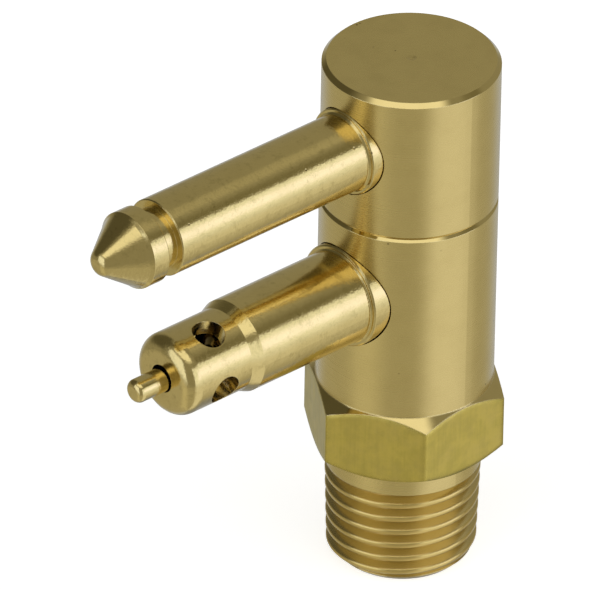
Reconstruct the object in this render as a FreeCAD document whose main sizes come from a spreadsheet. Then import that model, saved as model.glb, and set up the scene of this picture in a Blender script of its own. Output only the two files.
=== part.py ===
import FreeCAD, Part

import math
import os
import re

import Sketcher

# Two-prong male fuel connector that screws into a fuel tank.
# +Z runs up the barrel from the threaded end (z = 0), and both prongs point along -Y.
# Pieces that lie along a prong are drawn with local +X as the distance out from the
# barrel's axis and local +Y as the radius, and their Placement turns local +X to -Y.

SIZES = {
    # Barrel: the valve body below the joint, the guide head above it.
    "barrel_radius": 7.875,
    "barrel_top": 50.7,
    "barrel_top_chamfer": 0.4,
    "joint_height": 36.8,
    "joint_chamfer": 0.27,
    "dimple_radius": 0.45,
    "dimple_depth": 0.12,
    # Spanner hexagon, turned to a chamfer above and below.
    "hex_across_flats": 16.0,
    "hex_bottom": 11.75,
    "hex_top": 18.4,
    "hex_blank_radius": 9.3,
    "hex_top_drop": 1.05,
    "hex_bottom_radius": 7.95,
    "hex_bottom_rise": 0.85,
    # Plain collar and tapered pipe thread, 1/4-18 NPT.
    "collar_radius": 6.95,
    "collar_bottom": 9.66,
    "thread_crest_radius": 6.63,
    "thread_slope": 0.03125,
    "thread_taper_angle": 1.7899,
    "thread_pitch": 1.4111,
    "thread_depth": 0.86,
    "thread_crest_flat": 0.2,
    "thread_shoulder": 0.15,
    "thread_shoulder_drop": 0.07,
    "thread_root_flat": 0.08,
    "thread_flare": 0.01,
    "thread_overcut": 0.3,
    "thread_start": -1.977,
    "thread_turns": 9.0,
    "thread_end_radius": 5.6,
    "thread_end_rise": 1.06,
    # Fuel bore up the body, ending in a drill point.
    "port_radius": 2.75,
    "port_depth": 30.0,
    "drill_point": 0.6,
    # Spigot that joins the guide head to the valve body.
    "spigot_radius": 3.5,
    "spigot_length": 2.4,
    "spigot_lead": 0.3,
    "spigot_socket_depth": 2.5,
    # Guide pin with its pilot cone and latch groove.
    "guide_height": 44.21,
    "guide_radius": 3.55,
    "guide_collar_radius": 4.0,
    "guide_socket_radius": 4.07,
    "guide_socket_floor": 5.5,
    "guide_shank_radius": 3.0,
    "guide_shank_end": 2.6,
    "guide_bore_end": 3.0,
    "guide_collar_front": 7.8,
    "guide_collar_chamfer": 0.1,
    "guide_root_rise": 0.15,
    "guide_root_front": 8.1,
    "latch_groove_rear": 29.5,
    "latch_groove_front": 31.0,
    "latch_groove_radius": 2.78,
    "latch_edge_chamfer": 0.09,
    "guide_cone_base": 32.7,
    "guide_cone_base_round": 0.25,
    "guide_cone_end": 35.98,
    "guide_cone_end_radius": 1.2,
    "guide_tip": 36.4,
    "guide_tip_flat_radius": 0.52,
    "guide_tip_round": 1.0,
    # Fuel prong: a hollow prong with a shank in the body and a nose with four ports.
    "fuel_height": 29.4,
    "fuel_radius": 4.28,
    "fuel_collar_radius": 4.75,
    "fuel_socket_radius": 4.83,
    "fuel_socket_floor": 4.2,
    "fuel_shank_radius": 4.0,
    "fuel_shank_end": 2.8,
    "fuel_shank_lead": 0.25,
    "fuel_cross_bore_end": 3.2,
    "fuel_collar_front": 7.88,
    "fuel_collar_chamfer": 0.14,
    "fuel_root_rise": 0.12,
    "fuel_root_front": 8.14,
    "fuel_barrel_front": 20.45,
    "fuel_bore_radius": 3.1,
    "nose_rear": 21.5,
    "nose_radius": 3.84,
    "nose_front": 28.66,
    "nose_round": 1.42,
    "nose_bore_radius": 2.3,
    "nose_bore_front": 27.2,
    "seat_front": 22.0,
    "stem_hole_radius": 1.3,
    "nose_port_centre": 24.4,
    "nose_port_radius": 1.5,
    "nose_port_turn": 70.0,
    # Seal ring in the groove of the fuel prong's collar.
    "seal_groove_radius": 3.95,
    "seal_groove_rear": 4.75,
    "seal_groove_front": 5.95,
    "seal_side_gap": 0.06,
    "seal_round": 0.36,
    # Valve stem: pin, flange, poppet head and tail, resting low in its clearance holes.
    "stem_drop": 0.1,
    "stem_radius": 1.1,
    "stem_tip": 32.0,
    "stem_round": 0.6,
    "stem_chamfer": 0.28,
    "stem_tail": 4.2,
    "flange_radius": 1.9,
    "flange_front": 22.4,
    "flange_cone_front": 22.9,
    "head_radius": 2.6,
    "head_rear": 19.3,
    "boss_radius": 1.5,
    "boss_rear": 18.1,
    # Poppet seal ring: a torus in the groove between the flange and the head.
    "ring_centre": 21.24,
    "ring_section_radius": 0.575,
    "ring_groove_radius": 1.5,
    "ring_groove_half_width": 0.61,
    # Valve spring with one closed turn at each end.
    "wire_radius": 0.25,
    "spring_radius": 2.2,
    "spring_closed_pitch": 0.52,
    "spring_active_turns": 8.0,
    # Retainer bush that holds the spring in the prong and guides the stem's tail.
    "retainer_rear": 3.0,
    "retainer_front": 5.0,
    "retainer_hole_radius": 1.36,
    "retainer_flat_distance": 2.3,
    "retainer_edge": 0.2,
}

HEX_CORNERS = 6
NOSE_PORTS = 4
RETAINER_FLATS = 3
CUT_MARGIN = 2.0

doc = FreeCAD.newDocument("fuel_connector")


def make_sheet():
    """Spreadsheet of the driving dimensions, one alias per row."""
    sheet = doc.addObject("Spreadsheet::Sheet", "Sizes")
    for row, (alias, value) in enumerate(SIZES.items(), start=1):
        sheet.set("A%d" % row, alias)
        sheet.set("B%d" % row, str(value))
        sheet.setAlias("B%d" % row, alias)
    doc.recompute()
    return sheet


sizes = make_sheet()


def bound(text):
    """The expression of a size, with each word turned into its cell of the sheet."""
    return re.sub(r"\b(?!sqrt\b)[a-z][a-z_]+", "Sizes.\\g<0>", text)


def value_of(text):
    """What such an expression comes to now."""
    return float(sizes.evalExpression(bound(text)))


def bind(target, path, text):
    target.setExpression(path, bound(text))


def origin_feature(body, role):
    """The origin plane or axis of a body that has this role."""
    for feature in body.Origin.OriginFeatures:
        if feature.Role == role:
            return feature
    raise ValueError("no origin feature " + role)


def new_body(name):
    body = doc.addObject("PartDesign::Body", name)
    body.Label = name
    return body


def new_sketch(body, name, role):
    """Empty sketch on one of the body's own origin planes."""
    sketch = body.newObject("Sketcher::SketchObject", name)
    sketch.AttachmentSupport = (origin_feature(body, role), [""])
    sketch.MapMode = "FlatFace"
    return sketch


def lay_along_prong(body, height, drop="0"):
    """Turn the body's local +X to -Y and lift it to its prong's height."""
    body.Placement = FreeCAD.Placement(
        FreeCAD.Vector(), FreeCAD.Rotation(FreeCAD.Vector(0, 0, 1), -90)
    )
    bind(body, "Placement.Base.z", height + " - " + drop)


def fix_point(sketch, edge, end, axis_kind, text):
    """Hold one coordinate of an edge's end at a size from the sheet."""
    if text == "0":
        on_axis = -2 if axis_kind == "DistanceX" else -1
        sketch.addConstraint(Sketcher.Constraint("PointOnObject", edge, end, on_axis))
        return
    constraint = Sketcher.Constraint(axis_kind, -1, 1, edge, end, value_of(text))
    index = sketch.addConstraint(constraint)
    bind(sketch, "Constraints[%d]" % index, text)


def arc_edge(start, end, radius):
    """Arc from start to end that bulges to the right of the way there."""
    chord = end - start
    left = FreeCAD.Vector(-chord.y, chord.x, 0).normalize()
    reach = math.sqrt(radius * radius - chord.Length ** 2 / 4)
    centre = (start + end) * 0.5 + left * reach
    circle = Part.Circle(centre, FreeCAD.Vector(0, 0, 1), radius)
    first = math.atan2(start.y - centre.y, start.x - centre.x)
    last = math.atan2(end.y - centre.y, end.x - centre.x)
    return Part.ArcOfCircle(circle, first, last)


def draw_outline(sketch, corners):
    """Closed anticlockwise outline through corners (x, y) or (x, y, radius of the arc to the next)."""
    points = [FreeCAD.Vector(value_of(c[0]), value_of(c[1]), 0) for c in corners]
    for number, corner in enumerate(corners):
        here = points[number]
        there = points[(number + 1) % len(points)]
        if len(corner) == 3:
            curve = arc_edge(here, there, value_of(corner[2]))
        else:
            curve = Part.LineSegment(here, there)
        sketch.addGeometry(curve, False)
    for number, corner in enumerate(corners):
        before = (number - 1) % len(corners)
        sketch.addConstraint(Sketcher.Constraint("Coincident", before, 2, number, 1))
        fix_point(sketch, number, 1, "DistanceX", corner[0])
        fix_point(sketch, number, 1, "DistanceY", corner[1])
        if len(corner) == 3:
            index = sketch.addConstraint(Sketcher.Constraint("Radius", number, value_of(corner[2])))
            bind(sketch, "Constraints[%d]" % index, corner[2])


def draw_circle(sketch, x_text, y_text, radius_text):
    centre = FreeCAD.Vector(value_of(x_text), value_of(y_text), 0)
    circle = Part.Circle(centre, FreeCAD.Vector(0, 0, 1), value_of(radius_text))
    edge = sketch.addGeometry(circle, False)
    fix_point(sketch, edge, 3, "DistanceX", x_text)
    fix_point(sketch, edge, 3, "DistanceY", y_text)
    index = sketch.addConstraint(Sketcher.Constraint("Radius", edge, value_of(radius_text)))
    bind(sketch, "Constraints[%d]" % index, radius_text)


def revolve(body, name, kind, sketch, axis):
    """Full turn of a sketch about one of its own axes, adding or cutting."""
    feature = body.newObject(kind, name)
    feature.Profile = sketch
    feature.ReferenceAxis = (sketch, [axis])
    feature.Angle = 360.0
    sketch.Visibility = False
    return feature


def turned_about_z(body, name, corners, kind="PartDesign::Revolution"):
    """Outline (radius, height) turned about the barrel's axis."""
    sketch = new_sketch(body, name + "_outline", "XZ_Plane")
    draw_outline(sketch, corners)
    return revolve(body, name, kind, sketch, "V_Axis")


def turned_about_x(body, name, corners):
    """Outline (distance along, radius) turned about the body's own local X axis."""
    sketch = new_sketch(body, name + "_outline", "XY_Plane")
    draw_outline(sketch, corners)
    return revolve(body, name, "PartDesign::Revolution", sketch, "H_Axis")


def bored_along_prong(body, name, height, corners):
    """Outline (distance out, radius) cut from the barrel about a prong's axis."""
    sketch = new_sketch(body, name + "_outline", "YZ_Plane")
    sketch.AttachmentOffset = FreeCAD.Placement(
        FreeCAD.Vector(), FreeCAD.Rotation(FreeCAD.Vector(0, 1, 0), 180)
    )
    bind(sketch, "AttachmentOffset.Base.y", height)
    draw_outline(sketch, corners)
    return revolve(body, name, "PartDesign::Groove", sketch, "H_Axis")


def upright_outline(name):
    """Empty sketch in the plane of the vertical axis and X: x is the radius, y the height."""
    outline = doc.addObject("Sketcher::SketchObject", name)
    outline.Placement = FreeCAD.Placement(
        FreeCAD.Vector(), FreeCAD.Rotation(FreeCAD.Vector(1, 0, 0), 90)
    )
    return outline


def helical_sweep(name, outline, start, radius, pitch, turns, cone_angle="0"):
    """Outline swept up a right-hand helix about the vertical axis, in one-turn stretches."""
    path = doc.addObject("Part::Helix", name + "_path")
    path.SegmentLength = 1.0
    bind(path, "Pitch", pitch)
    bind(path, "Height", "(%s) * (%s)" % (turns, pitch))
    bind(path, "Radius", radius)
    bind(path, "Angle", cone_angle)
    bind(path, "Placement.Base.z", start)
    sweep = doc.addObject("Part::Sweep", name)
    sweep.Sections = [outline]
    sweep.Spine = (path, [])
    sweep.Solid = True
    sweep.Frenet = True
    return sweep


def polar(body, name, original, axis_role, count):
    """Copies of a cut spread evenly round one of the body's axes."""
    pattern = body.newObject("PartDesign::PolarPattern", name)
    pattern.Originals = [original]
    pattern.Axis = (origin_feature(body, axis_role), [""])
    pattern.Angle = 360.0
    pattern.Occurrences = count
    body.Tip = pattern
    return pattern


def make_thread_groove():
    """V groove of the tapered thread, with eased crest shoulders, ended at the collar."""
    outline = upright_outline("groove_outline")
    crest = "thread_crest_radius + thread_start * thread_slope"
    neck = "((thread_pitch - thread_crest_flat) / 2 - thread_shoulder)"
    flare_run = "thread_shoulder * (1 + thread_flare / thread_shoulder_drop)"
    mouth = "(%s + %s)" % (neck, flare_run)
    draw_outline(outline, [
        (crest + " - thread_depth", "thread_start - thread_root_flat / 2"),
        (crest + " - thread_shoulder_drop", "thread_start - " + neck),
        (crest + " + thread_flare", "thread_start - " + mouth),
        (crest + " + thread_overcut", "thread_start - " + mouth),
        (crest + " + thread_overcut", "thread_start + " + mouth),
        (crest + " + thread_flare", "thread_start + " + mouth),
        (crest + " - thread_shoulder_drop", "thread_start + " + neck),
        (crest + " - thread_depth", "thread_start + thread_root_flat / 2"),
    ])
    sweep = helical_sweep(
        "groove_sweep", outline, "thread_start", crest,
        "thread_pitch", "thread_turns", "thread_taper_angle",
    )
    reach = doc.addObject("Part::Cylinder", "below_collar")
    bind(reach, "Radius", "hex_blank_radius")
    bind(reach, "Height", "collar_bottom - 2 * thread_start")
    bind(reach, "Placement.Base.z", "2 * thread_start")
    groove = doc.addObject("Part::Common", "thread_groove")
    groove.Base = sweep
    groove.Tool = reach
    return groove


def cut_hexagon(body):
    """Six flats, left where a ring outside the hexagon is cut from the turned blank."""
    sketch = new_sketch(body, "hexagon_outline", "XY_Plane")
    bind(sketch, "AttachmentOffset.Base.z", "collar_bottom")
    draw_circle(sketch, "0", "0", "hex_blank_radius * 1.5")
    corner_radius = value_of("hex_across_flats") / math.sqrt(3)
    corners = []
    for number in range(HEX_CORNERS):
        angle = math.radians(90 + 60 * number)
        corners.append(FreeCAD.Vector(corner_radius * math.cos(angle), corner_radius * math.sin(angle), 0))
    guide = sketch.addGeometry(
        Part.Circle(FreeCAD.Vector(), FreeCAD.Vector(0, 0, 1), corner_radius), True
    )
    sketch.addConstraint(Sketcher.Constraint("Coincident", guide, 3, -1, 1))
    index = sketch.addConstraint(Sketcher.Constraint("Radius", guide, corner_radius))
    bind(sketch, "Constraints[%d]" % index, "hex_across_flats / sqrt(3)")
    first = None
    for number in range(HEX_CORNERS):
        following = corners[(number + 1) % HEX_CORNERS]
        edge = sketch.addGeometry(Part.LineSegment(corners[number], following), False)
        first = edge if first is None else first
        sketch.addConstraint(Sketcher.Constraint("PointOnObject", edge, 1, guide))
        if edge > first:
            sketch.addConstraint(Sketcher.Constraint("Coincident", edge - 1, 2, edge, 1))
            sketch.addConstraint(Sketcher.Constraint("Equal", first, edge))
    sketch.addConstraint(Sketcher.Constraint("Coincident", edge, 2, first, 1))
    sketch.addConstraint(Sketcher.Constraint("PointOnObject", first, 1, -2))
    flats = body.newObject("PartDesign::Pocket", "hexagon")
    flats.Profile = sketch
    flats.Reversed = True
    bind(flats, "Length", "hex_top - collar_bottom + hex_top_drop")


def make_valve_body():
    """Threaded lower barrel with the hexagon, the fuel bore and the fuel prong's socket."""
    body = new_body("body_blank")
    turned_about_z(body, "barrel_blank", [
        ("0", "0"),
        ("thread_end_radius", "0"),
        ("thread_crest_radius + thread_slope * thread_end_rise", "thread_end_rise"),
        ("thread_crest_radius + thread_slope * collar_bottom", "collar_bottom"),
        ("collar_radius", "collar_bottom"),
        ("collar_radius", "hex_bottom"),
        ("hex_bottom_radius", "hex_bottom"),
        ("hex_blank_radius", "hex_bottom + hex_bottom_rise"),
        ("hex_blank_radius", "hex_top - hex_top_drop"),
        ("barrel_radius", "hex_top"),
        ("barrel_radius", "joint_height - joint_chamfer"),
        ("barrel_radius - joint_chamfer", "joint_height"),
        ("spigot_radius", "joint_height"),
        ("spigot_radius", "joint_height - spigot_socket_depth"),
        ("0", "joint_height - spigot_socket_depth"),
    ])
    cut_hexagon(body)
    turned_about_z(body, "fuel_bore", [
        ("0", "0"),
        ("port_radius", "0"),
        ("port_radius", "port_depth"),
        ("0", "port_depth + port_radius * drill_point"),
    ], "PartDesign::Groove")
    bored_along_prong(body, "fuel_prong_socket", "fuel_height", [
        ("-fuel_cross_bore_end - fuel_shank_radius * drill_point", "0"),
        ("barrel_radius + %g" % CUT_MARGIN, "0"),
        ("barrel_radius + %g" % CUT_MARGIN, "fuel_socket_radius"),
        ("fuel_socket_floor", "fuel_socket_radius"),
        ("fuel_socket_floor", "fuel_shank_radius"),
        ("-fuel_cross_bore_end", "fuel_shank_radius"),
    ])
    threaded = doc.addObject("Part::Cut", "valve_body")
    threaded.Label = "valve_body"
    threaded.Base = body
    threaded.Tool = make_thread_groove()
    return threaded


def make_guide_head():
    """Upper barrel on its spigot, cross-bored for the guide pin."""
    body = new_body("guide_head")
    turned_about_z(body, "head_blank", [
        ("0", "joint_height - spigot_length"),
        ("spigot_radius - spigot_lead", "joint_height - spigot_length"),
        ("spigot_radius", "joint_height - spigot_length + spigot_lead"),
        ("spigot_radius", "joint_height"),
        ("barrel_radius - joint_chamfer", "joint_height"),
        ("barrel_radius", "joint_height + joint_chamfer"),
        ("barrel_radius", "barrel_top - barrel_top_chamfer"),
        ("barrel_radius - barrel_top_chamfer", "barrel_top"),
        ("dimple_radius", "barrel_top"),
        ("0", "barrel_top - dimple_depth"),
    ])
    bored_along_prong(body, "guide_pin_socket", "guide_height", [
        ("-guide_bore_end - guide_shank_radius * drill_point", "0"),
        ("barrel_radius + %g" % CUT_MARGIN, "0"),
        ("barrel_radius + %g" % CUT_MARGIN, "guide_socket_radius"),
        ("guide_socket_floor", "guide_socket_radius"),
        ("guide_socket_floor", "guide_shank_radius"),
        ("-guide_bore_end", "guide_shank_radius"),
    ])
    return body


def make_guide_pin():
    """Solid upper prong: pressed shank, collar, long land, latch groove and pilot cone."""
    body = new_body("guide_pin")
    turned_about_x(body, "pin", [
        ("-guide_shank_end", "0"),
        ("guide_tip", "0"),
        ("guide_tip", "guide_tip_flat_radius", "guide_tip_round"),
        ("guide_cone_end", "guide_cone_end_radius"),
        ("guide_cone_base + guide_cone_base_round", "guide_radius - guide_cone_base_round"),
        ("guide_cone_base", "guide_radius"),
        ("latch_groove_front + latch_edge_chamfer", "guide_radius"),
        ("latch_groove_front", "guide_radius - latch_edge_chamfer"),
        ("latch_groove_front", "latch_groove_radius"),
        ("latch_groove_rear", "latch_groove_radius"),
        ("latch_groove_rear", "guide_radius - latch_edge_chamfer"),
        ("latch_groove_rear - latch_edge_chamfer", "guide_radius"),
        ("guide_root_front", "guide_radius"),
        ("guide_collar_front + guide_collar_chamfer", "guide_radius + guide_root_rise"),
        ("guide_collar_front + guide_collar_chamfer", "guide_collar_radius - guide_collar_chamfer"),
        ("guide_collar_front", "guide_collar_radius"),
        ("guide_socket_floor", "guide_collar_radius"),
        ("guide_socket_floor", "guide_shank_radius"),
        ("-guide_shank_end + spigot_lead", "guide_shank_radius"),
        ("-guide_shank_end", "guide_shank_radius - spigot_lead"),
    ])
    lay_along_prong(body, "guide_height")
    return body


def make_fuel_prong():
    """Hollow lower prong: shank, sealed collar, barrel, and nose with the valve seat."""
    body = new_body("fuel_prong")
    turned_about_x(body, "prong", [
        ("fuel_shank_end", "fuel_bore_radius"),
        ("seat_front - (fuel_bore_radius - nose_bore_radius)", "fuel_bore_radius"),
        ("seat_front", "nose_bore_radius"),
        ("nose_bore_front", "nose_bore_radius"),
        ("nose_bore_front", "stem_hole_radius"),
        ("nose_front", "stem_hole_radius"),
        ("nose_front", "nose_radius - nose_round", "nose_round"),
        ("nose_front - nose_round", "nose_radius"),
        ("nose_rear", "nose_radius"),
        ("fuel_barrel_front", "fuel_radius"),
        ("fuel_root_front", "fuel_radius"),
        ("fuel_collar_front + fuel_collar_chamfer", "fuel_radius + fuel_root_rise"),
        ("fuel_collar_front + fuel_collar_chamfer", "fuel_collar_radius - fuel_collar_chamfer"),
        ("fuel_collar_front", "fuel_collar_radius"),
        ("seal_groove_front", "fuel_collar_radius"),
        ("seal_groove_front", "seal_groove_radius"),
        ("seal_groove_rear", "seal_groove_radius"),
        ("seal_groove_rear", "fuel_collar_radius"),
        ("fuel_socket_floor", "fuel_collar_radius"),
        ("fuel_socket_floor", "fuel_shank_radius"),
        ("fuel_shank_end + fuel_shank_lead", "fuel_shank_radius"),
        ("fuel_shank_end", "fuel_shank_radius - fuel_shank_lead"),
    ])
    sketch = new_sketch(body, "nose_port_outline", "XZ_Plane")
    turn = FreeCAD.Rotation(FreeCAD.Vector(1, 0, 0), value_of("nose_port_turn"))
    sketch.AttachmentOffset = FreeCAD.Placement(FreeCAD.Vector(), turn)
    bind(sketch, "AttachmentOffset.Rotation.Angle", "nose_port_turn")
    draw_circle(sketch, "nose_port_centre", "0", "nose_port_radius")
    port = body.newObject("PartDesign::Pocket", "nose_port")
    port.Profile = sketch
    bind(port, "Length", "nose_radius + %g" % CUT_MARGIN)
    polar(body, "nose_ports", port, "X_Axis", NOSE_PORTS)
    lay_along_prong(body, "fuel_height")
    return body


def make_prong_seal():
    """Rubber ring squeezed between the collar's groove and the socket."""
    body = new_body("prong_o_ring")
    rear = "seal_groove_rear + seal_side_gap"
    front = "seal_groove_front - seal_side_gap"
    turned_about_x(body, "ring", [
        (rear + " + seal_round", "seal_groove_radius"),
        (front + " - seal_round", "seal_groove_radius", "seal_round"),
        (front, "seal_groove_radius + seal_round"),
        (front, "fuel_socket_radius - seal_round", "seal_round"),
        (front + " - seal_round", "fuel_socket_radius"),
        (rear + " + seal_round", "fuel_socket_radius", "seal_round"),
        (rear, "fuel_socket_radius - seal_round"),
        (rear, "seal_groove_radius + seal_round", "seal_round"),
    ])
    lay_along_prong(body, "fuel_height")
    return body


def make_valve_stem():
    """Stem that the mating socket pushes in: pin, flange, poppet head, boss and tail."""
    body = new_body("valve_stem")
    turned_about_x(body, "stem", [
        ("stem_tail", "0"),
        ("stem_tip", "0"),
        ("stem_tip", "stem_radius - stem_round", "stem_round"),
        ("stem_tip - stem_round", "stem_radius"),
        ("flange_cone_front", "stem_radius"),
        ("flange_front", "flange_radius"),
        ("ring_centre + ring_groove_half_width", "flange_radius"),
        ("ring_centre + ring_groove_half_width", "ring_groove_radius"),
        ("ring_centre - ring_groove_half_width", "ring_groove_radius"),
        ("ring_centre - ring_groove_half_width", "head_radius"),
        ("head_rear", "head_radius"),
        ("head_rear", "boss_radius"),
        ("boss_rear", "boss_radius"),
        ("boss_rear", "stem_radius"),
        ("stem_tail + stem_chamfer", "stem_radius"),
        ("stem_tail", "stem_radius - stem_chamfer"),
    ])
    lay_along_prong(body, "fuel_height", "stem_drop")
    return body


def make_poppet_ring():
    """Rubber ring on the poppet, which closes on the prong's conical seat."""
    ring = doc.addObject("Part::Torus", "poppet_o_ring")
    ring.Label = "poppet_o_ring"
    ring.Placement = FreeCAD.Placement(
        FreeCAD.Vector(), FreeCAD.Rotation(FreeCAD.Vector(1, 0, 0), 90)
    )
    bind(ring, "Radius1", "ring_groove_radius + ring_section_radius")
    bind(ring, "Radius2", "ring_section_radius")
    bind(ring, "Placement.Base.y", "-ring_centre")
    bind(ring, "Placement.Base.z", "fuel_height - stem_drop")
    return ring


def make_spring():
    """Compression spring: a closed turn at each end and the active turns between."""
    rear = "retainer_front + wire_radius"
    front = "head_rear - wire_radius"
    active_pitch = "(%s - (%s) - 2 * spring_closed_pitch) / spring_active_turns" % (front, rear)
    stretches = [
        ("rear_turn", rear, "spring_closed_pitch", "1"),
        ("active_turns", rear + " + spring_closed_pitch", active_pitch, "spring_active_turns"),
        ("front_turn", front + " - spring_closed_pitch", "spring_closed_pitch", "1"),
    ]
    sweeps = []
    for name, start, pitch, turns in stretches:
        section = upright_outline(name + "_section")
        draw_circle(section, "spring_radius", start, "wire_radius")
        sweeps.append(helical_sweep(name, section, start, "spring_radius", pitch, turns))
    spring = doc.addObject("Part::MultiFuse", "valve_spring")
    spring.Label = "valve_spring"
    spring.Shapes = sweeps
    spring.Placement = FreeCAD.Placement(
        FreeCAD.Vector(), FreeCAD.Rotation(FreeCAD.Vector(1, 0, 0), 90)
    )
    bind(spring, "Placement.Base.z", "fuel_height - stem_drop")
    return spring


def make_retainer():
    """Pressed bush with three flats that let the fuel past."""
    body = new_body("spring_retainer")
    turned_about_x(body, "bush", [
        ("retainer_rear", "retainer_hole_radius"),
        ("retainer_front", "retainer_hole_radius"),
        ("retainer_front", "fuel_bore_radius"),
        ("retainer_rear + retainer_edge", "fuel_bore_radius"),
        ("retainer_rear", "fuel_bore_radius - retainer_edge"),
    ])
    sketch = new_sketch(body, "flat_outline", "YZ_Plane")
    draw_outline(sketch, [
        ("-fuel_bore_radius", "retainer_flat_distance"),
        ("fuel_bore_radius", "retainer_flat_distance"),
        ("fuel_bore_radius", "fuel_bore_radius + %g" % CUT_MARGIN),
        ("-fuel_bore_radius", "fuel_bore_radius + %g" % CUT_MARGIN),
    ])
    flat = body.newObject("PartDesign::Pocket", "flat")
    flat.Profile = sketch
    flat.Reversed = True
    bind(flat, "Length", "retainer_front + %g" % CUT_MARGIN)
    polar(body, "flats", flat, "X_Axis", RETAINER_FLATS)
    lay_along_prong(body, "fuel_height")
    return body


pieces = [
    make_valve_body(),
    make_guide_head(),
    make_guide_pin(),
    make_fuel_prong(),
    make_prong_seal(),
    make_valve_stem(),
    make_poppet_ring(),
    make_spring(),
    make_retainer(),
]
doc.recompute()
for item in doc.Objects:
    if "Invalid" in item.State or "Error" in item.State:
        raise RuntimeError("%s did not build: %s" % (item.Name, item.State))
os.makedirs("parts", exist_ok=True)
for piece in pieces:
    shape = piece.Shape
    if shape.isNull() or not shape.isValid() or len(shape.Solids) != 1:
        raise RuntimeError("%s is not one valid solid" % piece.Label)
    shape.exportStep("parts/" + piece.Label + ".step")
    box = shape.BoundBox
    print("%-16s volume %9.3f  x %.2f..%.2f  y %.2f..%.2f  z %.2f..%.2f" % (
        piece.Label, shape.Volume, box.XMin, box.XMax, box.YMin, box.YMax, box.ZMin, box.ZMax))
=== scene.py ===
import math

import bpy
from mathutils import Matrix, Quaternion, Vector


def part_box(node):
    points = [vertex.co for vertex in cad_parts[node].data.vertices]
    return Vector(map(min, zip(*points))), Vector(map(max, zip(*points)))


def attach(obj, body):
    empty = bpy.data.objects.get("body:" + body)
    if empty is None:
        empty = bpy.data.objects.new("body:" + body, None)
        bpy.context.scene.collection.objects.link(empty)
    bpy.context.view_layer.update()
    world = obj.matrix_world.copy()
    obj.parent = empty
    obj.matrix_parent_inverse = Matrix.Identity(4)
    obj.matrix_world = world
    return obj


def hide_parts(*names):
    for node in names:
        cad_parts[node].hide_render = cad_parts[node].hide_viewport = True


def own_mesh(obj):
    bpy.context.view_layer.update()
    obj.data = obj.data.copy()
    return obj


# Brass two-prong fuel connector. Metres, +Z up the barrel, both prongs along -Y.

MM = 0.001

# Camera: where it stands, how far it is turned about its own axis, how far it is moved right and up
# from the line to the origin, and how much it takes in.
VIEW_AZIMUTH = math.radians(47.77)
VIEW_ELEVATION = math.radians(32.55)
VIEW_ROLL = math.radians(1.094)
CAMERA_DISTANCE = 1.5699
AIM_RIGHT = -0.009775
AIM_UP = 0.021885
VIEW_WIDTH = 0.05227
SENSOR_WIDTH = 36.0
VIEW_DEPTH = 10.0

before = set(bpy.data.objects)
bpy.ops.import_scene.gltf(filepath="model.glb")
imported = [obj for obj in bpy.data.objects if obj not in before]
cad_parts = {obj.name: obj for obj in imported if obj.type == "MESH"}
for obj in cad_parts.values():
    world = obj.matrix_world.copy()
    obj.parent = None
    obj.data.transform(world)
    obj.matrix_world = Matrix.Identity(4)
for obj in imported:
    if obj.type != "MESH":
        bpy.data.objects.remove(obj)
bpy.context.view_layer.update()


def middle_height(node):
    """Height of the axis of a piece that lies along -Y."""
    low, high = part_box(node)
    return (low[2] + high[2]) / 2


GUIDE_AXIS = middle_height("guide_pin")
FUEL_AXIS = middle_height("fuel_prong")
SPRING_AXIS = middle_height("valve_spring")


def view_axes():
    """Right, up and back of the camera, before it is turned about its own axis."""
    back = Vector((
        math.sin(VIEW_AZIMUTH) * math.cos(VIEW_ELEVATION),
        -math.cos(VIEW_AZIMUTH) * math.cos(VIEW_ELEVATION),
        math.sin(VIEW_ELEVATION),
    ))
    right = Vector((math.cos(VIEW_AZIMUTH), math.sin(VIEW_AZIMUTH), 0.0))
    return right, back.cross(right), back


def add_camera():
    right, up, back = view_axes()
    data = bpy.data.cameras.new("camera")
    data.sensor_width = SENSOR_WIDTH
    data.lens = SENSOR_WIDTH * CAMERA_DISTANCE / VIEW_WIDTH
    data.clip_end = VIEW_DEPTH
    camera = bpy.data.objects.new("camera", data)
    camera.location = back * CAMERA_DISTANCE + right * AIM_RIGHT + up * AIM_UP
    camera.rotation_mode = "QUATERNION"
    turn = Quaternion((0.0, 0.0, 1.0), VIEW_ROLL)
    camera.rotation_quaternion = back.to_track_quat("Z", "Y") @ turn
    bpy.context.scene.collection.objects.link(camera)
    bpy.context.scene.camera = camera


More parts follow.
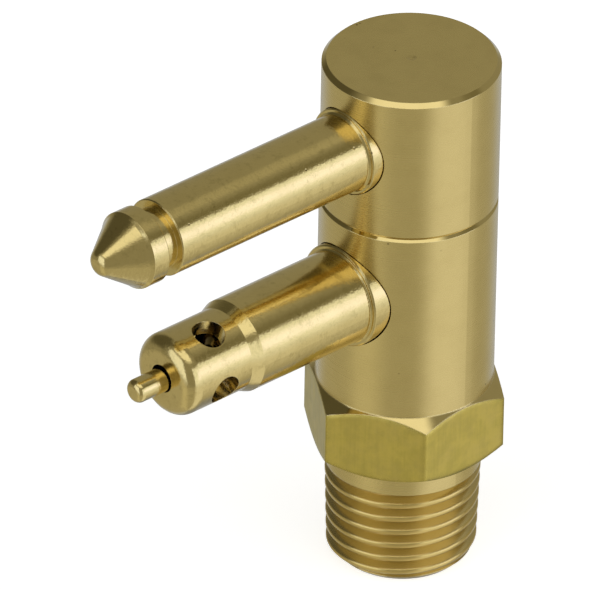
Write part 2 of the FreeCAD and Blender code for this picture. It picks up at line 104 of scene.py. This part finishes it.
class Graph:
    """Short calls that build one node tree."""

    def __init__(self, tree):
        self.tree = tree

    def node(self, kind, **settings):
        made = self.tree.nodes.new(kind)
        for name, value in settings.items():
            setattr(made, name, value)
        return made

    def feed(self, socket, value):
        """Link an output into a socket, or set the socket to a constant."""
        if isinstance(value, bpy.types.NodeSocket):
            self.tree.links.new(value, socket)
        else:
            socket.default_value = value

    def math(self, operation, *values):
        made = self.node("ShaderNodeMath", operation=operation)
        for socket, value in zip(made.inputs, values):
            self.feed(socket, value)
        return made.outputs[0]

    def chain(self, operation, values):
        """The operation on the first two values, then on its result and each further value."""
        total = values[0]
        for value in values[1:]:
            total = self.math(operation, total, value)
        return total

    def add(self, *values):
        return self.chain("ADD", values)

    def times(self, *values):
        return self.chain("MULTIPLY", values)

    def most(self, *values):
        return self.chain("MAXIMUM", values)

    def inverse(self, share):
        return self.math("SUBTRACT", 1.0, share)

    def dot(self, vector, direction):
        made = self.node("ShaderNodeVectorMath", operation="DOT_PRODUCT")
        self.feed(made.inputs[0], vector)
        self.feed(made.inputs[1], direction)
        return made.outputs["Value"]

    def vector(self, x, y, z):
        made = self.node("ShaderNodeCombineXYZ")
        for socket, value in zip(made.inputs, (x, y, z)):
            self.feed(socket, value)
        return made.outputs[0]

    def parts(self, vector):
        made = self.node("ShaderNodeSeparateXYZ")
        self.feed(made.inputs[0], vector)
        return made.outputs[0], made.outputs[1], made.outputs[2]

    def step(self, value, low, high, start=0.0, end=1.0):
        """Smooth step from start to end as value goes from low to high."""
        made = self.node("ShaderNodeMapRange", interpolation_type="SMOOTHSTEP")
        for socket, number in zip(made.inputs, (value, low, high, start, end)):
            self.feed(socket, number)
        return made.outputs[0]

    def fade(self, value, low, high):
        """1 below low, falling to 0 at high."""
        return self.step(value, low, high, 1.0, 0.0)

    def between(self, value, low, high, soft):
        """1 where value lies from low to high, 0 outside."""
        return self.times(
            self.step(value, low - soft, low + soft),
            self.fade(value, high - soft, high + soft),
        )

    def mix(self, factor, below, above):
        """Colour below where factor is 0, colour above where it is 1."""
        made = self.node("ShaderNodeMix", data_type="RGBA")
        colours = [s for s in made.inputs if s.type == "RGBA"]
        self.feed(made.inputs[0], factor)
        self.feed(colours[0], below)
        self.feed(colours[1], above)
        return next(s for s in made.outputs if s.type == "RGBA")

    def blend(self, factor, below, above):
        """Number below where factor is 0, number above where it is 1."""
        made = self.node("ShaderNodeMix", data_type="FLOAT")
        numbers = [s for s in made.inputs if s.type == "VALUE"]
        for socket, value in zip(numbers, (factor, below, above)):
            self.feed(socket, value)
        return made.outputs[0]

    def noise(self, vector, size, detail=2.0, ragged=0.5):
        """Noise whose largest features are about this size."""
        made = self.node("ShaderNodeTexNoise")
        self.feed(made.inputs["Vector"], vector)
        self.feed(made.inputs["Scale"], 1 / size)
        self.feed(made.inputs["Detail"], detail)
        self.feed(made.inputs["Roughness"], ragged)
        return made.outputs[0]

    def patches(self, vector, size, detail, ragged, clear, full):
        """0 where noise is under clear, 1 where it is over full."""
        return self.step(self.noise(vector, size, detail, ragged), clear, full)

    def dots(self, vector, spacing, radius, share):
        """Scattered round dots in a share of the cells; radius is in cells of this spacing."""
        made = self.node("ShaderNodeTexVoronoi")
        self.feed(made.inputs["Vector"], vector)
        self.feed(made.inputs["Scale"], 1 / spacing)
        chosen = self.math("LESS_THAN", self.parts(made.outputs["Color"])[0], share)
        inside = self.fade(made.outputs["Distance"], radius / 2, radius)
        return self.times(chosen, inside)

    def bump(self, height, relief):
        """Normals of a height pattern that stands relief metres tall."""
        made = self.node("ShaderNodeBump")
        self.feed(made.inputs["Distance"], relief)
        self.feed(made.inputs["Height"], height)
        return made


# Light tent round the part, as the polished brass mirrors it. A card reaches from one elevation to
# another, a half width to each side of its bearing from the camera (positive to its right), all in
# degrees; soft is the width of its side, lower and upper edge. A later card covers an earlier one.
WARM = (1.0, 0.954, 0.74)
PLAIN = (1.0, 0.99, 0.93)
CLEAN = (1.0, 1.05, 1.16)
COOL = (1.0, 1.06, 1.22)
LAMP = (1.0, 1.03, 1.38)
DUSK = (1.0, 0.93, 0.62)
TENT = (0.285, WARM)
CARDS = {
    "table": dict(
        bearing=0, half=181, low=-91, high=-22, soft=(1, 1, 7), light=(0.42, WARM)),
    "table left": dict(
        bearing=-52, half=19, low=-91, high=-20, soft=(14, 1, 8), light=(0.57, WARM)),
    "table right": dict(
        bearing=57, half=31, low=-91, high=-14, soft=(14, 1, 8), light=(0.75, PLAIN)),
    "table back": dict(
        bearing=180, half=42, low=-91, high=-10, soft=(16, 1, 8), light=(0.48, COOL)),
    "table shade": dict(
        bearing=150, half=40, low=-91, high=-50, soft=(14, 1, 6), light=(0.28, COOL)),
    "left panel": dict(
        bearing=-51, half=24, low=-14, high=36, soft=(2, 10, 6), light=(1.0, CLEAN)),
    "right panel": dict(
        bearing=57, half=31, low=-16, high=28, soft=(4, 12, 2), light=(1.0, CLEAN)),
    "panel lamp": dict(
        bearing=70, half=16, low=-1, high=17, soft=(5, 6, 6), light=(1.32, LAMP)),
    "ceiling": dict(
        bearing=-5, half=60, low=46, high=91, soft=(10, 6, 1), light=(1.02, PLAIN)),
    "dark corner": dict(
        bearing=-118, half=35, low=2, high=62, soft=(12, 10, 5), light=(0.095, DUSK)),
    "dark strip": dict(
        bearing=90, half=12, low=28, high=43, soft=(5, 2, 6), light=(0.19, DUSK)),
    "gold wall": dict(
        bearing=122, half=17, low=42, high=58, soft=(8, 5, 5), light=(0.42, WARM)),
}
NEARLY_ZERO = 1e-6


def tinted(level, tone):
    return (*(level * part for part in tone), 1.0)


def add_tent():
    """World light: a grey tent with bright and dark cards."""
    world = bpy.data.worlds.new("tent")
    bpy.context.scene.world = world
    world.use_nodes = True
    world.node_tree.nodes.clear()
    graph = Graph(world.node_tree)
    direction = graph.node("ShaderNodeTexCoord").outputs["Generated"]
    up = graph.dot(direction, (0.0, 0.0, 1.0))
    elevation = graph.math("DEGREES", graph.math("ARCSINE", up))
    flat = graph.math("SQRT", graph.most(graph.inverse(graph.times(up, up)), NEARLY_ZERO))
    colour = tinted(*TENT)
    for name, card in CARDS.items():
        side, lower, upper = card["soft"]
        facing = VIEW_AZIMUTH - math.pi / 2 + math.radians(card["bearing"])
        along = graph.dot(direction, (math.cos(facing), math.sin(facing), 0.0))
        cosine = graph.math("DIVIDE", along, flat)
        apart = graph.math("DEGREES", graph.math("ARCCOSINE", cosine))
        inside = graph.times(
            graph.fade(apart, card["half"] - side, card["half"] + side),
            graph.step(elevation, card["low"] - lower, card["low"] + lower),
            graph.fade(elevation, card["high"] - upper, card["high"] + upper),
        )
        inside.node.label = name
        colour = graph.mix(inside, colour, tinted(*card["light"]))
    shine = graph.node("ShaderNodeBackground")
    graph.feed(shine.inputs["Color"], colour)
    output = graph.node("ShaderNodeOutputWorld")
    graph.feed(output.inputs["Surface"], shine.outputs[0])


def new_material(name):
    """Material with an empty tree; returns it, its graph and its Principled shader."""
    material = bpy.data.materials.new(name)
    material.use_nodes = True
    material.node_tree.nodes.clear()
    graph = Graph(material.node_tree)
    shader = graph.node("ShaderNodeBsdfPrincipled")
    output = graph.node("ShaderNodeOutputMaterial")
    graph.feed(output.inputs["Surface"], shader.outputs[0])
    return material, graph, shader


def rgba(colour):
    return (*colour, 1.0)


# Turning and drawing marks: how far along them they drift, and how their noise divides.
MARK_DRIFT = 4 * MM
MARKS = dict(size=1.0, detail=3.0, ragged=0.6)
SMALLEST_RADIUS = 0.01 * MM


class TurnedSurface:
    """Coordinates on a turned piece: along its axis, out from it, and which way the surface faces.

    slope is how far it faces along the axis, 1 or -1 on an end face; outward is how far it faces
    away from the axis, 1 on a barrel and -1 in a bore.
    """

    def __init__(self, graph, axis, height=0.0):
        self.graph = graph
        coordinates = graph.node("ShaderNodeTexCoord")
        self.place = coordinates.outputs["Object"]
        self.x, self.y, self.z = graph.parts(self.place)
        self.facing = coordinates.outputs["Normal"]
        normal_x, normal_y, normal_z = graph.parts(self.facing)
        if axis == "Z":
            self.along = self.z
            self.slope = normal_z
            across = self.y
            across_normal = normal_y
        else:
            self.along = self.y
            self.slope = normal_y
            across = graph.add(self.z, -height)
            across_normal = normal_z
        squares = graph.add(graph.times(self.x, self.x), graph.times(across, across))
        self.radius = graph.math("SQRT", squares)
        outward = graph.add(graph.times(self.x, normal_x), graph.times(across, across_normal))
        self.outward = graph.math("DIVIDE", outward, graph.most(self.radius, SMALLEST_RADIUS))

    def rings(self, width, wobble):
        """Noise that changes along and out from the axis every width, and little round it."""
        graph = self.graph
        drift = graph.times(graph.noise(self.place, MARK_DRIFT, detail=1.0), wobble)
        pattern = graph.vector(
            graph.times(self.along, 1 / width), graph.times(self.radius, 1 / width), drift)
        return graph.noise(pattern, **MARKS)

    def streaks(self, width, length):
        """Noise drawn out up and down the part."""
        graph = self.graph
        pattern = graph.vector(
            graph.times(self.x, 1 / width), graph.times(self.y, 1 / width),
            graph.times(self.z, 1 / length))
        return graph.noise(pattern, **MARKS)


BRASS = (0.82, 0.66, 0.29)
TARNISH = (0.64, 0.50, 0.20)
PALE_BRASS = (0.88, 0.74, 0.40)
# Painted shade: this dark brown, given to bores and to the pieces deep inside the prong, stands in
# for the shade there.
PAINTED_BORE_SHADE = (0.12, 0.08, 0.03)
PIT_BRASS = (0.16, 0.11, 0.05)

# Edges are rounded for the light. Between the rounded and the true normal, a cosine under
# WORN_COSINE means fully worn, so pale and smooth, and one over FLAT_COSINE not worn at all.
EDGE_RADIUS = 0.07 * MM
EDGE_SAMPLES = 6
WORN_COSINE = 0.90
FLAT_COSINE = 0.995
WORN_ROUGHNESS = 0.08
WORN_SMOOTHING = 0.5

MOTTLE = dict(size=2.6 * MM, detail=5.0, ragged=0.65, clear=0.35, full=0.75)
MOTTLE_SHARE = 0.25

# Pits lie in patches. Their radius is a share of their spacing, and their depth is a multiple of
# the relief of the material that they are in.
PITTED = dict(size=7 * MM, detail=1.0, ragged=0.5, clear=0.48, full=0.58)
PIT_SPACING = 0.9 * MM
PIT_RADIUS = 0.15
PIT_DEPTH = 2.4
PIT_SHADE = 0.8


def finish_brass(graph, shader, surface, colour, roughness, height, relief,
                 wear=0.5, pits=0.1, edge=EDGE_RADIUS):
    """Mottled and pitted metal with rounded edges; height is a pattern, relief metres tall.

    wear is how pale worn edges are, and pits the share of the pits' places that have one.
    """
    rounded = graph.node("ShaderNodeBevel", samples=EDGE_SAMPLES)
    graph.feed(rounded.inputs["Radius"], edge)
    worn = graph.fade(graph.dot(rounded.outputs[0], surface.facing), WORN_COSINE, FLAT_COSINE)
    mottle = graph.patches(surface.place, **MOTTLE)
    colour = graph.mix(graph.times(mottle, MOTTLE_SHARE), colour, rgba(TARNISH))
    colour = graph.mix(graph.times(worn, wear), colour, rgba(PALE_BRASS))
    pitted = graph.patches(surface.place, **PITTED)
    holes = graph.times(graph.dots(surface.place, PIT_SPACING, PIT_RADIUS, pits), pitted)
    colour = graph.mix(graph.times(holes, PIT_SHADE), colour, rgba(PIT_BRASS))
    bump = graph.bump(graph.add(height, graph.times(holes, -PIT_DEPTH)), relief)
    graph.feed(bump.inputs["Normal"], rounded.outputs[0])
    graph.feed(shader.inputs["Normal"], bump.outputs[0])
    graph.feed(shader.inputs["Base Color"], colour)
    roughness = graph.blend(graph.times(worn, WORN_SMOOTHING), roughness, WORN_ROUGHNESS)
    graph.feed(shader.inputs["Roughness"], roughness)
    shader.inputs["Metallic"].default_value = 1.0


def ring_roughness(graph, rings, base, spread):
    """Roughness that varies with the turning marks about a base."""
    return graph.add(graph.times(graph.add(rings, -0.5), spread), base)


# Satin turned barrel.
BARREL_RINGS = 0.22 * MM
BARREL_WOBBLE = 1.6
BARREL_ROUGHNESS = 0.27
BARREL_SPREAD = 0.06
BARREL_RELIEF = 0.28e-6
BARREL_PITS = 0.15
FACE_BRASS = (0.90, 0.725, 0.31)
FACE_SLOPES = (0.97, 0.99)
FACE_MARKS = 0.12
CHAMFER_ROUGHNESS = 0.08
HEAD_CHAMFER_SLOPES = (0.45, 0.9)
SLOPE_SOFT = 0.05


def barrel_brass():
    """Satin turned brass of the guide head: fine rings, facing marks on top, a few pits."""
    material, graph, shader = new_material("barrel_brass")
    surface = TurnedSurface(graph, "Z")
    rings = surface.rings(BARREL_RINGS, BARREL_WOBBLE)
    chamfer = graph.between(surface.slope, *HEAD_CHAMFER_SLOPES, SLOPE_SOFT)
    top = graph.step(surface.slope, *FACE_SLOPES)
    roughness = ring_roughness(graph, rings, BARREL_ROUGHNESS, BARREL_SPREAD)
    roughness = graph.blend(chamfer, roughness, CHAMFER_ROUGHNESS)
    height = graph.blend(top, rings, graph.times(rings, FACE_MARKS))
    colour = graph.mix(top, rgba(BRASS), rgba(FACE_BRASS))
    finish_brass(
        graph, shader, surface, colour, roughness, height, BARREL_RELIEF, pits=BARREL_PITS)
    return material


# Valve body: heights from its bottom face, the radius beyond which only the hexagon reaches, and
# how far the surface faces along or away from the axis on each kind of face.
COLLAR_BOTTOM = 9.66 * MM
COLLAR_TOP = 11.75 * MM
HEX_TOP = 18.4 * MM
FLAT_RADIUS = 7.97 * MM
UPRIGHT_SLOPES = (0.05, 0.15)
BODY_CHAMFER_SLOPES = (0.3, 0.9)
BODY_BORE_OUTWARD = (-0.5, -0.2)

# Drawn flats of the hexagon, greener than turned brass. Their reliefs are multiples of the barrel's.
HEX_BRASS = (0.73, 0.585, 0.14)
HEX_TARNISH = (0.62, 0.505, 0.12)
HEX_ROUND = 0.7 * MM
HEX_STAINED = (0.35, 0.65)
DRAWN_WIDTH = 0.25 * MM
DRAWN_LENGTH = 5.0 * MM
DRAWN_RELIEF = 9.0
DRAWN_ROUGHNESS = 0.26
DRAWN_SPREAD = 0.25
CLOUD = dict(size=1.4 * MM, detail=4.0, ragged=0.6)
CLOUD_SHARE = 0.75
CLOUD_RELIEF = 42.0

# Junction of the barrel with the hexagon's top, worn rounder than other edges.
JUNCTION_ROUND = 0.2 * MM
JUNCTION_REACH = 1.0 * MM
BODY_WEAR = 0.5

# Thread: the radius of its crests at the bottom face, its taper on the radius, and how deep under
# the crests their colour ends.
THREAD_BRASS = (0.76, 0.615, 0.29)
CREST_BRASS = (0.84, 0.64, 0.24)
CREST_RADIUS = 6.63 * MM
THREAD_TAPER = 1 / 32
THREAD_ROUND = 0.2 * MM
THREAD_ROUGHNESS = 0.26
THREAD_RUN_OUT = 0.1 * MM
CREST_DEPTHS = (0.05 * MM, 0.15 * MM)


def body_brass():
    """Valve body: satin barrel, drawn hexagon flats, bright collar and golden thread, with painted
    shade in its bore.
    """
    material, graph, shader = new_material("body_brass")
    surface = TurnedSurface(graph, "Z")
    rings = surface.rings(BARREL_RINGS, BARREL_WOBBLE)
    drawn = surface.streaks(DRAWN_WIDTH, DRAWN_LENGTH)
    cloud = graph.noise(surface.place, **CLOUD)
    slope = graph.math("ABSOLUTE", surface.slope)
    flats = graph.times(
        graph.step(surface.radius, FLAT_RADIUS, FLAT_RADIUS + 0.01 * MM),
        graph.fade(slope, *UPRIGHT_SLOPES),
        graph.between(surface.z, COLLAR_TOP, HEX_TOP, 0.02 * MM),
    )
    thread = graph.fade(surface.z, COLLAR_BOTTOM - THREAD_RUN_OUT, COLLAR_BOTTOM)
    # Painted shade: where the surface faces in towards the axis, in the bore, its colour is darkened
    # to stand in for shade.
    bore = graph.fade(surface.outward, *BODY_BORE_OUTWARD)
    chamfer = graph.times(
        graph.between(slope, *BODY_CHAMFER_SLOPES, SLOPE_SOFT),
        graph.step(surface.z, COLLAR_TOP, COLLAR_TOP + MM),
    )
    crest_radius = graph.add(graph.times(surface.z, THREAD_TAPER), CREST_RADIUS)
    crest = graph.fade(graph.math("SUBTRACT", crest_radius, surface.radius), *CREST_DEPTHS)
    threaded = graph.mix(crest, rgba(THREAD_BRASS), rgba(CREST_BRASS))
    colour = graph.mix(thread, rgba(BRASS), threaded)
    stained = graph.step(graph.blend(CLOUD_SHARE, drawn, cloud), *HEX_STAINED)
    colour = graph.mix(flats, colour, graph.mix(stained, rgba(HEX_BRASS), rgba(HEX_TARNISH)))
    colour = graph.mix(bore, colour, rgba(PAINTED_BORE_SHADE))
    roughness = ring_roughness(graph, rings, BARREL_ROUGHNESS, BARREL_SPREAD)
    roughness = graph.blend(thread, roughness, THREAD_ROUGHNESS)
    roughness = graph.blend(chamfer, roughness, CHAMFER_ROUGHNESS)
    flat_roughness = graph.add(graph.times(drawn, DRAWN_SPREAD), DRAWN_ROUGHNESS)
    roughness = graph.blend(flats, roughness, flat_roughness)
    flat_relief = graph.add(graph.times(drawn, DRAWN_RELIEF), graph.times(cloud, CLOUD_RELIEF))
    height = graph.blend(flats, rings, flat_relief)
    junction = graph.between(
        surface.z, HEX_TOP - JUNCTION_REACH, HEX_TOP + JUNCTION_REACH, 0.05 * MM)
    edge = graph.blend(junction, EDGE_RADIUS, JUNCTION_ROUND)
    edge = graph.blend(thread, edge, THREAD_ROUND)
    edge = graph.blend(flats, edge, HEX_ROUND)
    wear = graph.times(graph.inverse(thread), graph.inverse(flats), BODY_WEAR)
    pits = graph.times(graph.step(surface.z, HEX_TOP, HEX_TOP + MM), BARREL_PITS)
    finish_brass(
        graph, shader, surface, colour, roughness, height, BARREL_RELIEF, wear, pits, edge)
    return material


# Bright turned prongs. The heights of their rings, blotches and grain are multiples of one relief.
PRONG_RINGS = 0.24 * MM
PRONG_WOBBLE = 1.4
PRONG_ROUGHNESS = 0.14
PRONG_SPREAD = 0.12
PRONG_RELIEF = 7e-6
PRONG_BORE_OUTWARD = (-0.85, -0.75)
RING_HEIGHT = 0.6
BLOTCHES = dict(size=0.55 * MM, detail=3.0, ragged=0.6)
BLOTCH_HEIGHT = 1.5
GRAIN = dict(size=0.2 * MM, detail=2.0, ragged=0.6)
GRAIN_HEIGHT = 1.1
STAIN_BRASS = (0.46, 0.37, 0.14)
STAINS = dict(size=0.8 * MM, detail=6.0, ragged=0.75, clear=0.50, full=0.68)
STAIN_SHARE = 0.38
DARK_FADE = 0.2 * MM
NOWHERE = 1.0

# Radial ports in the fuel prong's nose: their place along Y, and their drilled walls, which face
# neither fully out nor fully in and get a painted highlight.
PORT_CENTRE = -24.4 * MM
PORT_RADIUS = 1.5 * MM
PORT_OUTWARD = (-0.8, 0.45)
PAINTED_PORT_HIGHLIGHT = (0.92, 0.79, 0.44)
DRILLED_ROUGHNESS = 0.2


def prong_brass(name, height, dark_from=NOWHERE, ports=False):
    """Bright turned brass of a piece along -Y, with painted shade inside its bore and beyond
    dark_from, and with ports, a painted highlight on the port walls.
    """
    material, graph, shader = new_material(name)
    surface = TurnedSurface(graph, "Y", height)
    rings = surface.rings(PRONG_RINGS, PRONG_WOBBLE)
    blotches = graph.noise(surface.place, **BLOTCHES)
    grain = graph.noise(surface.place, **GRAIN)
    stains = graph.patches(surface.place, **STAINS)
    # Painted shade: inside the bore and beyond dark_from the colour turns to the dark shade colour.
    inside = graph.fade(surface.outward, *PRONG_BORE_OUTWARD)
    inside = graph.most(inside, graph.step(surface.y, dark_from, dark_from + DARK_FADE))
    colour = graph.mix(graph.times(stains, STAIN_SHARE), rgba(BRASS), rgba(STAIN_BRASS))
    colour = graph.mix(inside, colour, rgba(PAINTED_BORE_SHADE))
    roughness = ring_roughness(graph, rings, PRONG_ROUGHNESS, PRONG_SPREAD)
    if ports:
        near = graph.between(
            surface.y, PORT_CENTRE - PORT_RADIUS, PORT_CENTRE + PORT_RADIUS, 0.03 * MM)
        # Painted highlight: the port walls get a paler colour in place of the light they would
        # reflect.
        port_wall_highlight = graph.times(near, graph.between(surface.outward, *PORT_OUTWARD, SLOPE_SOFT))
        colour = graph.mix(port_wall_highlight, colour, rgba(PAINTED_PORT_HIGHLIGHT))
        roughness = graph.blend(port_wall_highlight, roughness, DRILLED_ROUGHNESS)
    relief = graph.add(
        graph.times(rings, RING_HEIGHT),
        graph.times(blotches, BLOTCH_HEIGHT),
        graph.times(grain, GRAIN_HEIGHT),
    )
    finish_brass(graph, shader, surface, colour, roughness, relief, PRONG_RELIEF)
    return material


# Rubber and steel: the noise values between which roughness goes from its first to its second.
NOISE_RANGE = (0.3, 0.7)

RUBBER = (0.012, 0.012, 0.013)
RUBBER_BLOOM = (0.04, 0.04, 0.042)
RUBBER_ROUGHNESS = (0.42, 0.62)
BLOOM_SIZE = 0.8 * MM
RUBBER_GRAIN = 0.12 * MM
RUBBER_RELIEF = 2e-6


def seal_rubber():
    """Black nitrile rubber with a dull bloom."""
    material, graph, shader = new_material("seal_rubber")
    place = graph.node("ShaderNodeTexCoord").outputs["Object"]
    bloom = graph.noise(place, BLOOM_SIZE, detail=4.0)
    graph.feed(shader.inputs["Base Color"], graph.mix(bloom, rgba(RUBBER), rgba(RUBBER_BLOOM)))
    roughness = graph.step(bloom, *NOISE_RANGE, *RUBBER_ROUGHNESS)
    graph.feed(shader.inputs["Roughness"], roughness)
    bump = graph.bump(graph.noise(place, RUBBER_GRAIN), RUBBER_RELIEF)
    graph.feed(shader.inputs["Normal"], bump.outputs[0])
    return material


STEEL = (0.50, 0.49, 0.47)
BRIGHT_STEEL = (0.66, 0.65, 0.63)
STEEL_ROUGHNESS = (0.20, 0.34)
DIE_MARK_SIZE = 0.15 * MM
STEEL_RELIEF = 1e-6


def spring_steel():
    """Drawn stainless wire: bright, with faint die marks."""
    material, graph, shader = new_material("spring_steel")
    place = graph.node("ShaderNodeTexCoord").outputs["Object"]
    marks = graph.noise(place, DIE_MARK_SIZE, detail=3.0)
    graph.feed(shader.inputs["Base Color"], graph.mix(marks, rgba(STEEL), rgba(BRIGHT_STEEL)))
    roughness = graph.step(marks, *NOISE_RANGE, *STEEL_ROUGHNESS)
    graph.feed(shader.inputs["Roughness"], roughness)
    shader.inputs["Metallic"].default_value = 1.0
    bump = graph.bump(marks, STEEL_RELIEF)
    graph.feed(shader.inputs["Normal"], bump.outputs[0])
    return material


def dress(node, material):
    """The CAD node shows in this material."""
    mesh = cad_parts[node].data
    mesh.materials.clear()
    mesh.materials.append(material)


WIRE_RADIUS = 0.25 * MM
CLOSED_PITCH = 0.52 * MM
ACTIVE_TURNS = 8
CLOSED_TURNS = 2
POINTS_PER_TURN = 28
POINTS_ROUND_WIRE = 12


def wire_ring(centre, out):
    """Points round the wire at one place on the coil; out points away from the coil's axis."""
    along = Vector((0.0, 1.0, 0.0))
    ring = []
    for number in range(POINTS_ROUND_WIRE):
        way = 2 * math.pi * number / POINTS_ROUND_WIRE
        ring.append(centre + (out * math.cos(way) + along * math.sin(way)) * WIRE_RADIUS)
    return ring


def coil_mesh(low, high):
    """Wire coil that fills the box from low to high, with a closed turn at each end."""
    radius = (high[2] - low[2]) / 2 - WIRE_RADIUS
    front = low[1] + WIRE_RADIUS
    rear = high[1] - WIRE_RADIUS
    active_rise = rear - front - CLOSED_TURNS * CLOSED_PITCH
    count = (ACTIVE_TURNS + CLOSED_TURNS) * POINTS_PER_TURN + 1
    vertices = []
    for step in range(count):
        turn = step / POINTS_PER_TURN
        active = min(max(turn - CLOSED_TURNS / 2, 0.0), ACTIVE_TURNS)
        closed = turn - active
        y = front + closed * CLOSED_PITCH + active / ACTIVE_TURNS * active_rise
        angle = 2 * math.pi * turn
        out = Vector((math.cos(angle), 0.0, math.sin(angle)))
        vertices.extend(wire_ring(out * radius + Vector((0.0, y, SPRING_AXIS)), out))
    faces = []
    for step in range(count - 1):
        here = step * POINTS_ROUND_WIRE
        beyond = here + POINTS_ROUND_WIRE
        for number in range(POINTS_ROUND_WIRE):
            following = (number + 1) % POINTS_ROUND_WIRE
            faces.append((here + number, here + following, beyond + following, beyond + number))
    last = (count - 1) * POINTS_ROUND_WIRE
    faces.append(tuple(range(POINTS_ROUND_WIRE - 1, -1, -1)))
    faces.append(tuple(range(last, last + POINTS_ROUND_WIRE)))
    mesh = bpy.data.meshes.new("valve_spring_wire")
    mesh.from_pydata(vertices, [], faces)
    mesh.polygons.foreach_set("use_smooth", [True] * len(faces))
    return mesh


def add_spring(material):
    """The valve spring between the retainer and the poppet."""
    low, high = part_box("valve_spring")
    mesh = coil_mesh(low, high)
    mesh.materials.append(material)
    spring = bpy.data.objects.new("valve_spring_wire", mesh)
    bpy.context.scene.collection.objects.link(spring)
    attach(spring, "connector")
    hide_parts("valve_spring")
    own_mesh(spring)


FLOOR_REACH = 3.0
FLOOR_GAP = 0.02 * MM
PAPER = (0.86, 0.88, 0.95)
PAPER_ROUGHNESS = 0.9
PAPER_GLOW = 0.72
WHITE = (1.0, 1.0, 1.0)


def add_floor():
    """Plain pale paper just under the part, which its brass doesn't mirror."""
    data = bpy.data.meshes.new("floor")
    corners = [
        (x * FLOOR_REACH, y * FLOOR_REACH, -FLOOR_GAP)
        for x, y in ((-1, -1), (1, -1), (1, 1), (-1, 1))
    ]
    data.from_pydata(corners, [], [(0, 1, 2, 3)])
    floor = bpy.data.objects.new("floor", data)
    bpy.context.scene.collection.objects.link(floor)
    material, graph, shader = new_material("floor_paper")
    graph.feed(shader.inputs["Base Color"], rgba(PAPER))
    graph.feed(shader.inputs["Roughness"], PAPER_ROUGHNESS)
    graph.feed(shader.inputs["Emission Color"], rgba(WHITE))
    graph.feed(shader.inputs["Emission Strength"], PAPER_GLOW)
    data.materials.append(material)
    floor.visible_glossy = False


# From here back, the stem and the retainer lie deep inside the fuel prong, so their colour there is
# painted shade.
BORE_START = -26.0 * MM

bpy.context.scene.view_settings.view_transform = "Standard"
add_camera()
add_tent()
add_floor()
rubber = seal_rubber()
dress("valve_body", body_brass())
dress("guide_head", barrel_brass())
dress("guide_pin", prong_brass("guide_pin_brass", GUIDE_AXIS))
dress("fuel_prong", prong_brass("fuel_prong_brass", FUEL_AXIS, ports=True))
small_brass = prong_brass("small_parts_brass", SPRING_AXIS, BORE_START)
dress("valve_stem", small_brass)
dress("spring_retainer", small_brass)
dress("prong_o_ring", rubber)
dress("poppet_o_ring", rubber)
add_spring(spring_steel())
